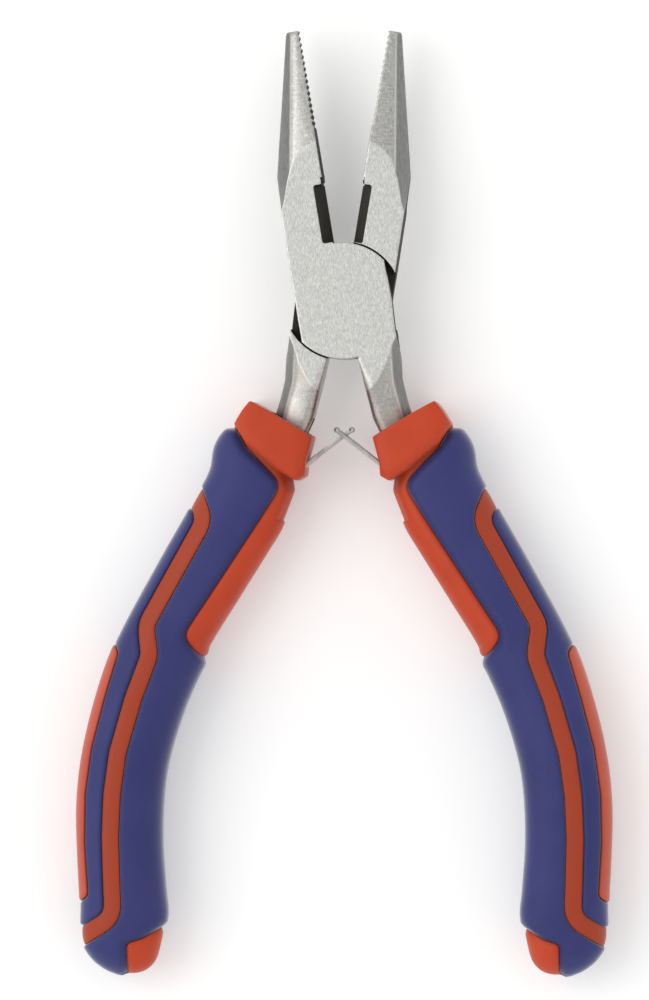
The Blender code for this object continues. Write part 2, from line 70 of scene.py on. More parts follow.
MM = 0.001
OPEN_HALF_ANGLE = math.radians(9.35)
HALF_THICKNESS = 3.8
PLATE_RADIUS = 7.42
SHOULDER_RADIUS = 7.58
LAP = 0.05
SHARP_ANGLE = math.radians(35.0)
JAW_LENGTH = 35.1
FACE = -0.03
TOOTH_PITCH = 0.78
TOOTH_DEPTH = 0.2
TOOTH_COUNT = 16
CUTTER_SPAN = (7.6, 15.1)
CUTTER_BEVEL = 1.3
CUTTER_LAND = 0.15
# A burr at the top of each cutter, on the outer part of the thickness only.
KNOB_ROOT = [(-0.28, 15.95), (-0.28, 15.1)]
KNOB_TIP = [(-0.28, 15.9), (0.06, 15.86), (0.13, 15.6), (0.06, 15.34), (-0.28, 15.3)]

# Outlines of one closed half, as (a, b) points.
JAW_OUTER = [(-6.0, -4.37), (-6.0, 6.1), (-5.93, 12.9), (-5.83, 17.0), (-1.75, JAW_LENGTH)]
TANG_OUTER = [
    (6.07, 4.27), (6.2, -0.75), (6.0, -4.6), (6.1, -8.5), (5.8, -11.1), (6.0, -13.8), (6.5, -17.2),
    (7.1, -19.6)]
TANG_INNER = [(2.9, -19.6), (1.8, -17.2), (1.3, -15.4), (0.95, -11.0), (0.79, -7.38)]
COLLAR = [
    (9.54, -14.5), (6.6, -15.5), (0.97, -17.75), (1.3, -21.2), (1.1, -22.8), (2.1, -23.6), (5.0, -22.4),
    (9.2, -19.9), (11.1, -17.75), (10.3, -15.8)]
COLLAR_DEPTH = 5.66

# b, depth at the gripping side, knuckle a, knuckle depth, outer a.
NOSE_SECTIONS = [
    (36.0, 1.0, 0.87, 0.88, 1.55), (JAW_LENGTH, 1.15, 1.05, 1.0, 1.75), (26.0, 2.8, 2.52, 2.45, 3.85),
    (17.6, 4.3, 3.9, 3.8, 5.85), (15.5, 4.7, 4.2, 4.5, 6.05), (13.5, 5.1, 4.9, 5.1, 6.1),
    (12.0, 5.4, 6.0, 5.4, 6.4), (10.5, 5.6, 7.2, 5.5, 7.6)]
TANG_SECTIONS = [
    (-3.5, 5.6, 7.2, 5.5, 7.6), (-5.3, 5.3, 6.0, 4.4, 6.5), (-7.0, 5.0, 5.1, 3.8, 6.2),
    (-9.0, 4.5, 4.85, 3.3, 6.1), (-11.2, 3.9, 4.65, 2.85, 5.9), (-13.6, 3.2, 4.85, 2.5, 6.1),
    (-17.4, 2.7, 5.3, 2.3, 6.7), (-20.0, 2.4, 5.8, 2.1, 7.3)]
NOSE_START = 10.6
TANG_START = -4.0
CREASE_ROUNDING = 0.7
ABOVE_THE_PLATE = 9.0

# The pocket for the tang: b, centre a, half width, half depth.
POCKET = [(-13.0, 3.7, 3.0, 3.9), (-18.6, 4.3, 2.85, 2.9), (-20.6, 5.0, 2.5, 2.5)]
# What is cut off the grip's core, so that it stays below the collar's sloping top.
CORE_TRIM = [(-2.0, -19.2), (5.5, -16.2), (5.5, -15.0), (-2.0, -15.0)]

# Grip silhouettes and depth as (b, value) knots.
GRIP_TOP = -16.5
GRIP_ROUNDING = -86.0
GRIP_END = -89.8
GRIP_OUTER = [
    (GRIP_TOP, 10.4), (-17.6, 11.6), (-19.3, 12.85), (-21.2, 13.45), (-24.0, 13.5), (-27.4, 14.6),
    (-37.3, 18.25), (-48.0, 21.85), (-55.3, 23.15), (-63.0, 23.65), (-69.3, 23.25), (-75.3, 22.15),
    (-81.4, 20.85), (-84.3, 20.4), (-86.7, 19.7), (-88.4, 18.2), (-89.4, 16.4), (GRIP_END, 14.9)]
GRIP_INNER = [
    (GRIP_TOP, 1.9), (-21.0, 1.7), (-24.5, 1.75), (-28.5, 2.4), (-30.3, 2.8), (-33.5, 4.1), (-40.2, 6.9),
    (-46.4, 9.45), (-47.7, 9.55), (-50.0, 10.35), (-55.0, 11.6), (-61.3, 12.45), (-66.0, 12.4),
    (-72.0, 11.6), (-78.0, 10.2), (-81.0, 9.45), (-85.0, 9.45), (-87.2, 9.75), (-88.6, 10.6), (-89.4, 11.8),
    (GRIP_END, 13.3)]
GRIP_DEPTH = [
    (GRIP_TOP, 4.5), (-20.0, 5.0), (-30.0, 5.1), (-46.0, 5.4), (-62.0, 5.5), (-76.0, 5.1), (-83.0, 4.75),
    (-86.5, 4.2), (-88.4, 3.1), (-89.4, 1.9), (GRIP_END, 0.9)]

# Lines in the front view that divide red from blue, and the stripe's middle, as (a, b) corners.
STRIP_EDGE = [(14.0, -16.3), (11.25, -18.1), (9.4, -20.4), (3.5, -24.4), (13.1, -45.7), (6.0, -50.3)]
STRIPE_LINE = [
    (18.5, -22.0), (13.0, -30.4), (18.15, -44.8), (16.95, -48.6), (18.1, -54.4), (18.95, -61.6),
    (18.8, -67.0), (18.15, -72.4), (17.0, -78.4), (16.2, -82.4), (23.5, -88.6)]
RIB_EDGE = [
    (24.0, -45.8), (21.1, -48.9), (21.85, -55.0), (22.45, -61.5), (22.3, -67.5), (21.4, -73.6),
    (19.9, -80.2), (22.5, -83.0)]
TAIL_EDGE = [(6.0, -80.6), (11.8, -84.5), (13.9, -85.5), (13.0, -92.0)]
STRIPE_WIDTH = 2.4
FACET_END = -29.1
FACET_LENGTH = 5.5
FACET_WIDTH = 3.8
FACET_BEVEL = 1.2
FACET_DEPTH = 0.26
GROOVE_DEPTH = 0.6
SHELL_THICKNESS = 0.9
CORE_DEPTH = 1.0

# The exposed run of a leaf spring, from its tip to inside the collar.
SPRING_LINE = [(-3.62, -16.05), (-1.35, -18.45), (1.44, -21.5), (2.0, -22.5)]
SPRING_HALF_WIDTH = 2.0
SPRING_HALF_THICKNESS = 0.26
TONGUE_HALF_WIDTH = 0.9
SLOT_HALF_WIDTH = 1.15
TONGUE_SPAN = (0.6, 5.4)
SLOT_SPAN = (0.6, 4.0)
EYE_RADIUS = 0.15
ROLL_RADIUS = 0.37

RIVET_RADIUS = 2.5
RIVET_HEAD_RADIUS = 3.3
RIVET_COVER = 0.6
RIVET_PLAY = 0.06


# ---- plane geometry

def curve(knots, at):
    """Smooth values at positions, by cubic pieces through (position, value) knots that fall."""
    x, y = np.array(knots, float).T
    index = np.arange(len(x))
    before, after = np.maximum(index - 1, 0), np.minimum(index + 1, len(x) - 1)
    slope = (y[after] - y[before]) / (x[after] - x[before])
    at = np.asarray(at, float)
    index = np.clip(np.searchsorted(-x, -at, side="right") - 1, 0, len(x) - 2)
    span = x[index + 1] - x[index]
    t = (at - x[index]) / span
    return (y[index] * (1 + 2 * t) * (1 - t) ** 2 + slope[index] * span * t * (1 - t) ** 2
            + y[index + 1] * t ** 2 * (3 - 2 * t) + slope[index + 1] * span * t ** 2 * (t - 1))


def rounded(corners, radius, steps=10):
    """A polyline whose inner corners are replaced by arcs of about the given radius."""
    points = [Vector(corners[0])]
    for before, corner, after in zip(corners, corners[1:], corners[2:]):
        corner = Vector(corner)
        to_before = Vector(before) - corner
        to_after = Vector(after) - corner
        half_angle = to_before.angle(to_after) / 2
        reach = min(radius / math.tan(half_angle), 0.45 * to_before.length, 0.45 * to_after.length)
        start = corner + to_before.normalized() * reach
        end = corner + to_after.normalized() * reach
        count = max(1, round(steps * (math.pi - 2 * half_angle) / (math.pi / 2)))
        for step in range(count + 1):
            t = step / count
            points.append(start * (1 - t) ** 2 + corner * (2 * t * (1 - t)) + end * t ** 2)
    points.append(Vector(corners[-1]))
    return np.array(points)


def arc(radius, start, end, steps):
    angle = np.radians(np.linspace(start, end, steps + 1))
    return np.stack([np.cos(angle), np.sin(angle)], 1) * radius


def dense(points, step):
    """The same polyline with points no further apart than step."""
    points = np.asarray(points, float)
    rows = []
    for first, second in zip(points, points[1:]):
        count = max(1, math.ceil(norm(second - first) / step))
        rows.append(first + (second - first) * np.arange(count)[:, None] / count)
    return np.vstack(rows + [points[-1:]])


def closed(points):
    points = np.asarray(points, float)
    return np.vstack([points, points[:1]])


def side_normals(chain):
    """Unit vectors to the left of a chain at each of its points."""
    step = np.gradient(chain, axis=0)
    if np.allclose(chain[0], chain[-1]):
        step[0] = step[-1] = chain[1] - chain[-2]
    step /= norm(step, axis=1)[:, None] + 1e-12
    return np.stack([-step[:, 1], step[:, 0]], 1)


def side_line(chain, offset):
    return chain + side_normals(chain) * offset


def distance(points, chains):
    """Distance from each point to the nearest of some chains."""
    start = np.vstack([chain[:-1] for chain in chains])
    step_x, step_y = (np.vstack([chain[1:] for chain in chains]) - start).T
    length = step_x ** 2 + step_y ** 2 + 1e-12
    nearest = np.empty(len(points))
    for first in range(0, len(points), 1000):
        x = points[first:first + 1000, :1] - start[:, 0]
        y = points[first:first + 1000, 1:] - start[:, 1]
        t = np.clip((x * step_x + y * step_y) / length, 0, 1)
        nearest[first:first + 1000] = ((x - t * step_x) ** 2 + (y - t * step_y) ** 2).min(1)
    return np.sqrt(nearest)


def inside(points, polygon):
    """Whether each point lies inside a closed polygon."""
    polygon = np.asarray(polygon, float)
    x, y = points[:, 0], points[:, 1]
    found = np.zeros(len(points), bool)
    for (ax, ay), (bx, by) in zip(polygon, np.roll(polygon, -1, 0)):
        if ay != by:
            crosses = (ay > y) != (by > y)
            found ^= crosses & (x < (bx - ax) * (y - ay) / (by - ay) + ax)
    return found


def mesh_plane(outline, lines, offsets, spacing):
    """Triangles over an outline that keep to its edge and to lines, finer beside them."""
    chains = [closed(outline)] + lines
    points = [np.vstack(chains)]
    for chain in chains:
        for offset in offsets:
            for side in (offset, -offset):
                row = side_line(chain, side)
                row = row[inside(row, outline)]
                if len(row):
                    row = row[distance(row, chains) > offset * 0.93]
                    cells = np.unique((row / (offset * 0.5)).round(), axis=0, return_index=True)[1]
                    points.append(row[np.sort(cells)])
    low, high = outline.min(0), outline.max(0)
    count = ((high - low) / (spacing, spacing * 0.866)).astype(int) + 2
    column, row = np.meshgrid(np.arange(count[0]), np.arange(count[1]))
    net = np.stack([(column + row % 2 * 0.5).ravel() * spacing, row.ravel() * spacing * 0.866], 1) + low
    net = net[inside(net, outline)]
    points.append(net[distance(net, chains) > max(offsets) + spacing * 0.4])
    edges = []
    first = 0
    for chain in chains:
        edges += [(first + index, first + index + 1) for index in range(len(chain) - 1)]
        first += len(chain)
    points, index = np.unique(np.vstack(points).round(5), axis=0, return_inverse=True)
    index = index.ravel()
    edges = [(int(index[i]), int(index[j])) for i, j in edges if index[i] != index[j]]
    made = delaunay_2d_cdt([Vector(p) for p in points], edges, [], 0, 1e-4, False)
    vertices = np.array([tuple(v) for v in made[0]])
    triangles = np.array([f for f in made[2] if len(f) == 3])
    triangles = triangles[inside(vertices[triangles].mean(1), outline)]
    corner = vertices[triangles]
    area = np.cross(corner[:, 1] - corner[:, 0], corner[:, 2] - corner[:, 0])
    triangles[area < 0] = triangles[area < 0][:, ::-1]
    return vertices, triangles[np.abs(area) > 1e-7]


# ---- solids from a plane mesh

def relief(vertices, triangles, labels, top, bottom, seam=None):
    """A solid between two height maps that may step where labels change.

    top and bottom give the height or heights of points for a label. bottom may be None for an open skin.
    Edges between seam vertices get no wall. Returns (x, y, height) points, the vertex under each, faces,
    and each face's kind: a label, or -1 - label for a wall.
    """
    sides = [top] if bottom is None else [top, bottom]
    heights = {(side, label): np.broadcast_to(height(label, vertices), len(vertices)).round(5)
               for side, height in enumerate(sides) for label in np.unique(labels).tolist()}
    keys = {}
    used = {}
    faces, kinds = [], []

    def corner(vertex, height):
        return keys.setdefault((vertex, height), len(keys))

    def upright(vertex, start, end):
        """The corners from one height to another above a vertex."""
        between = sorted(z for z in used[vertex] if min(start, end) <= z <= max(start, end))
        return [corner(vertex, z) for z in (between if start <= end else between[::-1])]

    def wall(i, j, at_i, at_j, kind):
        (low_i, high_i), (low_j, high_j) = at_i, at_j
        ring = upright(j, low_j, high_j) + upright(i, high_i, low_i)
        ring = [item for place, item in enumerate(ring) if item != ring[place - 1]]
        if len(set(ring)) > 2:
            faces.append(ring)
            kinds.append(kind)

    edges = {}
    for (i, j, k), label in zip(triangles.tolist(), labels.tolist()):
        for side in range(len(sides)):
            row = heights[side, label]
            ring = (i, j, k) if side == 0 else (k, j, i)
            faces.append([corner(vertex, row[vertex]) for vertex in ring])
            kinds.append(label)
            for vertex in ring:
                used.setdefault(vertex, set()).add(row[vertex])
        edges[i, j] = edges[j, k] = edges[k, i] = label
    for (i, j), label in edges.items():
        other = edges.get((j, i))
        spans = []
        if other is None and bottom is not None and not (seam is not None and seam[i] and seam[j]):
            spans = [((1, label), (0, label))]
        elif other is not None and label > other:
            spans = [((0, other), (0, label)), ((1, label), (1, other))][:len(sides)]
        for low, high in spans:
            low, high = heights[low], heights[high]
            wall(i, j, (low[i], high[i]), (low[j], high[j]), -1 - label)
    points = np.array([(*vertices[vertex], height) for vertex, height in keys])
    return points, np.array([vertex for vertex, _ in keys]), faces, np.array(kinds)


def add_object(name, data):
    obj = bpy.data.objects.new(name, data)
    bpy.context.scene.collection.objects.link(obj)
    return obj


def make_object(name, points, faces, slots=None, values=None, mirror=False, cap=False, outward=False):
    """A mesh object in millimetres. values are point attributes by name."""
    mesh = bpy.data.meshes.new(name)
    mesh.from_pydata(np.asarray(points).tolist(), [], faces)
    for key, value in (values or {}).items():
        mesh.attributes.new(key, "FLOAT", "POINT").data.foreach_set("value", np.asarray(value, np.float32))
    if slots is not None:
        mesh.polygons.foreach_set("material_index", np.asarray(slots, np.int32))
    bm = bmesh.new()
    bm.from_mesh(mesh)
    if mirror:
        twin = bmesh.ops.duplicate(bm, geom=bm.verts[:] + bm.edges[:] + bm.faces[:])["geom"]
        for item in twin:
            if isinstance(item, bmesh.types.BMVert):
                item.co.z = -item.co.z
        bmesh.ops.reverse_faces(bm, faces=[item for item in twin if isinstance(item, bmesh.types.BMFace)])
        middle = [vertex for vertex in bm.verts if abs(vertex.co.z) < 1e-5]
        bmesh.ops.remove_doubles(bm, verts=middle, dist=1e-4)
    if cap:
        bmesh.ops.holes_fill(bm, edges=[edge for edge in bm.edges if edge.is_boundary])
    if outward:
        bmesh.ops.recalc_face_normals(bm, faces=bm.faces)
    bm.to_mesh(mesh)
    bm.free()
    return add_object(name, mesh)


def combine(obj, other, operation):
    """Apply one exact Boolean and remove the other object."""
    boolean = obj.modifiers.new("Combine", "BOOLEAN")
    boolean.object = other
    boolean.operation = operation
    bpy.context.view_layer.update()
    evaluated = obj.evaluated_get(bpy.context.evaluated_depsgraph_get())
    mesh = bpy.data.meshes.new_from_object(evaluated)
    obj.modifiers.clear()
    obj.data = mesh
    bpy.data.objects.remove(other)


def finish_piece(obj, front, body, replaced, materials):
    """Store the closed-frame coordinates for the materials, open the piece and tie it to its body."""
    mesh = obj.data
    count = len(mesh.vertices)
    coordinates = np.empty(count * 3, np.float32)
    mesh.vertices.foreach_get("co", coordinates)
    mesh.attributes.new("local", "FLOAT_VECTOR", "POINT").data.foreach_set("vector", coordinates)
    turn = OPEN_HALF_ANGLE if front else -OPEN_HALF_ANGLE
    place = Matrix.Translation((0, 0, HALF_THICKNESS * MM)) @ Matrix.Rotation(turn, 4, "Z")
    if not front:
        place = place @ Matrix.Rotation(math.pi, 4, "Y")
    mesh.transform(place @ Matrix.Scale(MM, 4))
    for material in materials:
        mesh.materials.append(material)
    mesh.shade_smooth()
    mesh.set_sharp_from_angle(angle=SHARP_ANGLE)
    if body:
        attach(obj, body)
    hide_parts(*replaced)


# ---- steel halves

def edge_drop(reach, radius):
    """How far a rounded edge lies below its face at a distance from the edge."""
    left = np.clip(radius - reach, 0, radius)
    return radius - np.sqrt(np.maximum(radius ** 2 - left ** 2, 0))


def soft_min(first, second, reach):
    blend = np.clip(0.5 + 0.5 * (second - first) / reach, 0, 1)
    return second + (first - second) * blend - reach * blend * (1 - blend)


def ground_height(sections, across, b, crown):
    """Height of the turned form, a convex band, a knuckle and a side, and the distance past its knuckle."""
    b = np.clip(b, sections[-1][0], sections[0][0])
    depth, knuckle, knuckle_depth, outer = (curve([(row[0], row[column]) for row in sections], b)
                                            for column in range(1, 5))
    knuckle_depth = knuckle_depth + 0.2 * CREASE_ROUNDING
    t = np.clip(across / knuckle, -0.2, 1.4)
    rise = crown * knuckle
    band = depth + rise * t - (depth + rise - knuckle_depth) * t ** 2
    reach = (across - knuckle) / (outer - knuckle)
    side = knuckle_depth * (1 - np.arcsin(np.clip(reach, 0, 1)) / (math.pi / 2))
    side = np.where(reach < 0, knuckle_depth * (1 - reach * 2 / math.pi), side)
    return soft_min(band, side, CREASE_ROUNDING), across - knuckle


def turned_height(points):
    """Height of the nose and tang where they are turned, and the distance past their knuckle."""
    a, b = points.T
    nose, past_nose = ground_height(NOSE_SECTIONS, -a, b, np.interp(b, (19.0, 25.0), (-0.02, 0.11)))
    tang, past_tang = ground_height(TANG_SECTIONS, a, b, np.interp(-b, (8.0, 12.0), (0.0, 0.12)))
    on_nose = b > NOSE_START
    on_tang = (b < TANG_START) & ((a > 0.8) | (b < -8.4))
    height = np.where(on_nose, nose, np.where(on_tang, tang, ABOVE_THE_PLATE))
    return height, np.where(on_nose, past_nose, np.where(on_tang, past_tang, -ABOVE_THE_PLATE))


def lever_outline():
    """Front view of a forged half with its teeth."""
    upper = arc(PLATE_RADIUS, 90.2, 35.1, 48)
    lower = arc(PLATE_RADIUS, 276.1, 216.1, 60)
    tang = rounded(TANG_OUTER, 2.5)[1:]
    inner = rounded(TANG_INNER, 2.0)[:-1]
    jaw = dense(JAW_OUTER, 0.3)[1:]
    first = JAW_LENGTH - 0.1
    face = [(-0.25, JAW_LENGTH), (FACE, first)]
    for tooth in range(TOOTH_COUNT):
        top = first - tooth * TOOTH_PITCH
        for t, deep in ((0.22, 0.35), (0.38, 0.8), (0.5, 1.0), (0.62, 0.8), (0.78, 0.35), (1.0, 0.0)):
            face.append((FACE - TOOTH_DEPTH * deep, top - t * TOOTH_PITCH))
    face += [(FACE, 16.0), KNOB_ROOT[0], *KNOB_TIP, KNOB_ROOT[1], (FACE, CUTTER_SPAN[1] - 0.12)]
    face = dense(face, 0.35)
    face = np.vstack([face, dense([face[-1], tuple(upper[0])], 0.3)[1:-1]])
    outline = np.vstack([face, upper, tang, inner, lower, jaw[:-1]])
    tip = arc(0.2, 180, 90, 4) + (JAW_OUTER[-1][0] + 0.22, JAW_LENGTH - 0.2)
    return np.vstack([dense(outline, 0.35), tip])[::-1]


def knuckle_line(sections, side, start, end):
    """Front view of the crease between a turned form's band and its side."""
    b = np.linspace(start, end, 60)
    knots = [(row[0], row[2]) for row in sections]
    return np.stack([curve(knots, b) * side, b], 1)


def flat_edge(side, low, high, across):
    """Front view of the line where the flat face meets the turned form, read at several places across."""
    b = np.linspace(low, high, 400)
    line = []
    for a in across:
        height = turned_height(np.stack([np.full_like(b, a * side), b], 1))[0] - HALF_THICKNESS
        change = np.nonzero(np.diff(np.sign(height)))[0]
        if len(change):
            first = change[0]
            share = height[first] / (height[first] - height[first + 1])
            line.append((a * side, b[first] + (b[first + 1] - b[first]) * share))
    return np.array(line)


PLAIN, CUTTER, RECESS, HOLE, SINK, KNOB = range(6)


def make_lever(name, front):
    outline = lever_outline()
    low, high = CUTTER_SPAN
    notch = rounded([(1.0, low), (-CUTTER_BEVEL, low), (-CUTTER_BEVEL, high), (1.0, high)], 0.35)
    recess = arc(SHOULDER_RADIUS, 0, 360, 150)
    hole_radius = RIVET_RADIUS + RIVET_PLAY
    sink_radius = RIVET_HEAD_RADIUS + RIVET_PLAY
    lines = [dense(notch, 0.35), recess, arc(hole_radius, 0, 360, 60)]
    lines.append(dense([KNOB_TIP[-1], KNOB_TIP[0]], 0.1))
    if not front:
        lines.append(arc(sink_radius, 0, 360, 80))
    lines += [dense(line, 0.3) for line in (
        knuckle_line(NOSE_SECTIONS, -1, JAW_LENGTH - 0.4, 16.5),
        knuckle_line(TANG_SECTIONS, 1, -8.5, -19.2),
        flat_edge(-1, 10.7, 24.0, np.linspace(0.1, 5.9, 60)),
        flat_edge(1, -16.0, -4.1, np.linspace(0.9, 5.95, 60)))]
    vertices, triangles = mesh_plane(outline, lines, offsets=(0.05, 0.12, 0.25), spacing=0.34)
    middle = vertices[triangles].mean(1)
    labels = np.full(len(triangles), PLAIN)
    labels[inside(middle, closed(notch))] = CUTTER
    labels[inside(middle, KNOB_TIP)] = KNOB
    middle_radius = norm(middle, axis=1)
    labels[middle_radius < SHOULDER_RADIUS] = RECESS
    if front:
        labels[middle_radius < hole_radius] = HOLE
    else:
        labels[middle_radius < sink_radius] = SINK
        kept = middle_radius > hole_radius
        triangles, labels = triangles[kept], labels[kept]
    edge = distance(vertices, [closed(outline)])
    ring = np.abs(norm(vertices, axis=1) - SHOULDER_RADIUS)
    beside_notch = distance(vertices, [dense(notch, 0.35)])

    def plain_height(points):
        height = soft_min(HALF_THICKNESS, turned_height(points)[0], 0.05)
        radius = np.interp(-points[:, 1], (8.0, 11.5), (0.12, 1.2))
        return height - edge_drop(edge, np.minimum(radius, height * 0.45))

    def top(label, points):
        height = plain_height(points)
        if label == CUTTER:
            slope = (HALF_THICKNESS - CUTTER_LAND) / (CUTTER_BEVEL + FACE)
            bevel = HALF_THICKNESS - (points[:, 0] + CUTTER_BEVEL) * slope - 0.02
            return np.minimum(height, np.maximum(bevel, CUTTER_LAND))
        if label == SINK:
            return HALF_THICKNESS - sink_radius + norm(points, axis=1)
        if label == KNOB:
            return HALF_THICKNESS - 0.25
        return np.where(label == PLAIN, height - edge_drop(beside_notch, 0.08), height)

    def bottom(label, points):
        if label == HOLE:
            return HALF_THICKNESS - RIVET_COVER
        if label in (RECESS, SINK):
            return LAP
        if label == KNOB:
            return 0.35
        return -top(label, points) + (edge_drop(ring, 0.1) if label == PLAIN else 0)

    points, owners, faces, kinds = relief(vertices, triangles, labels, top, bottom)
    centre = np.array([points[face].mean(0) for face in faces])
    # Black: cutters, burr, joint floor, walls from the joint up, the tang's inner walls near the grip.
    black = (kinds == CUTTER) | (kinds == -1 - CUTTER)
    black |= (kinds == RECESS) & (centre[:, 2] < 0.2)
    black |= (kinds < 0) & (centre[:, 1] > -7.0) | (kinds == KNOB)
    black |= (kinds < 0) & (centre[:, 1] < -15.4) & (centre[:, 0] < 3.5)
    height, past = (rows[owners] for rows in turned_height(vertices))
    finish = np.clip((HALF_THICKNESS - 0.01 - height) / 0.03, 0, 1)
    # side: past the knuckle, where the side facet's colour is painted darker as shade
    values = {"turned": finish, "side": np.clip((past + 0.45) / 0.7, 0, 1) ** 1.5,
              # crease: a thin painted highlight along the knuckle crease
              "crease": np.exp(-((past + 0.02) / 0.09) ** 2)}
    return make_object(name, points, faces, black.astype(int), values)


# ---- grips

class GripSurface:
    """The front half of a grip's outer form, unrolled: x runs round it from the inner side, y along."""

    def __init__(self):
        body = np.linspace(GRIP_TOP, GRIP_ROUNDING, 500)
        end = GRIP_ROUNDING + (GRIP_END - GRIP_ROUNDING) * np.sin(np.linspace(0, math.pi / 2, 60))[1:]
        self.b = np.concatenate([body, end])
        outer, inner, depth = (curve(knots, self.b) for knots in (GRIP_OUTER, GRIP_INNER, GRIP_DEPTH))
        centre, half = (outer + inner) / 2, (outer - inner) / 2
        self.b = np.append(self.b, GRIP_END - 0.04)
        centre = np.append(centre, centre[-1])
        half = np.append(half, 0.01)
        depth = np.append(depth, 0.01)
        angle = np.linspace(0, math.pi, 241)
        across = -np.sign(np.cos(angle)) * np.abs(np.cos(angle)) ** 0.8
        deep = np.sin(angle) ** 0.8
        deep[-1] = 0.0
        a = centre[:, None] + half[:, None] * across
        z = depth[:, None] * deep
        arcs = np.hypot(np.diff(a, axis=1), np.diff(z, axis=1)).cumsum(1)
        arcs = np.hstack([np.zeros((len(a), 1)), arcs])
        self.round = arcs[:, -1]
        share = np.linspace(0, 1, 161)
        self.share = share
        self.a, z = (np.array([np.interp(share * row[-1], row, line) for row, line in zip(arcs, table)])
                     for table in (a, z))
        along = np.sqrt(np.diff(self.b) ** 2 + np.maximum(np.diff(half), 0) ** 2 + np.diff(depth) ** 2)
        self.y = np.concatenate([[0], along.cumsum()])
        self.rows = np.arange(len(self.b))
        place = np.stack([self.a, np.repeat(self.b[:, None], len(share), 1), z], 2)
        du = np.gradient(place, axis=1)
        dv = np.gradient(place, axis=0)
        normal = np.cross(dv, du)
        normal[:, 0, 2] = normal[:, -1, 2] = 0.0
        normal /= norm(normal, axis=2)[:, :, None] + 1e-12
        self.place, self.normal = place, normal
        self.size = np.minimum(half, depth)

    def flatten(self, points):
        """Unrolled places of front-view (a, b) points, past the sides too."""
        points = np.asarray(points, float)
        row = np.interp(-points[:, 1], -self.b, self.rows)
        low = np.minimum(row.astype(int), len(self.b) - 2)
        part = (row - low)[:, None]
        lines = self.a[low] * (1 - part) + self.a[low + 1] * part
        share = np.array([np.interp(a, line, self.share) for a, line in zip(points[:, 0], lines)])
        inner, outer = points[:, 0] - lines[:, 0], points[:, 0] - lines[:, -1]
        share = share + np.minimum(inner, 0) * 0.1 + np.maximum(outer, 0) * 0.1
        length = np.interp(row, self.rows, self.round)
        y = np.interp(row, self.rows, self.y)
        y = y + np.maximum(self.b[-1] - points[:, 1], 0)
        return np.stack([(share - 0.5) * np.maximum(length, 1.0), y], 1)

    def raise_points(self, points):
        """Places in the closed frame of (x, y, height) points."""
        row = np.interp(points[:, 1], self.y, self.rows)
        length = np.interp(row, self.rows, self.round)
        share = np.clip(points[:, 0] / np.maximum(length, 1e-6) + 0.5, 0, 1)
        share = np.where(share < 2e-4, 0, np.where(share > 1 - 2e-4, 1, share)) * (len(self.share) - 1)
        low_row = np.clip(row.astype(int), 0, len(self.b) - 2)
        low = np.clip(share.astype(int), 0, len(self.share) - 2)
        p, q = (row - low_row)[:, None], (share - low)[:, None]

        def sample(table):
            return ((table[low_row, low] * (1 - q) + table[low_row, low + 1] * q) * (1 - p)
                    + (table[low_row + 1, low] * (1 - q) + table[low_row + 1, low + 1] * q) * p)

        normal = sample(self.normal)
        normal /= norm(normal, axis=1)[:, None] + 1e-12
        size = np.interp(row, self.rows, self.size)
        height = np.maximum(points[:, 2], -0.5 * size)
        return sample(self.place) + normal * height[:, None]

    def girth(self, y):
        """Length round the front half at places along it."""
        return np.interp(y, self.y, self.round)

    def outline(self):
        step = 0.3
        y = dense([(0, 0), (0, self.y[-1])], step)[:, 1]
        length = self.girth(y)
        left = np.stack([-length / 2, y], 1)
        right = np.stack([length / 2, y], 1)
        top = dense([left[0], right[0]], step)[1:-1]
        return np.vstack([left[::-1], top, right])[:-1]


BLUE, STRIP, STRIPE, RIB, TAIL = range(5)


def profile(reach, knots):
    """Height along a profile of (distance, height) knots."""
    at, height = np.array(knots, float).T
    return np.interp(reach, at, height)


BEVEL = [(0, -0.7), (0.06, -0.64), (0.62, -0.17), (0.74, -0.09), (0.9, -0.03), (1.1, 0)]
SEAM = [(0, -0.42), (0.05, -0.26), (0.14, -0.1), (0.26, -0.03), (0.4, 0)]
SUNK = [(0, -1.0), (0.04, -0.76), (0.1, -0.68), (0.3, -0.52), (0.6, -0.42), (0.9, -0.36)]
FLUSH = [(0, -1.0), (0.04, -0.42), (0.12, -0.3), (0.3, -0.25), (1.2, -0.22)]
PROUD = [(0, -1.0), (0.04, -0.15), (0.1, 0.0), (0.22, 0.1), (0.4, 0.15)]


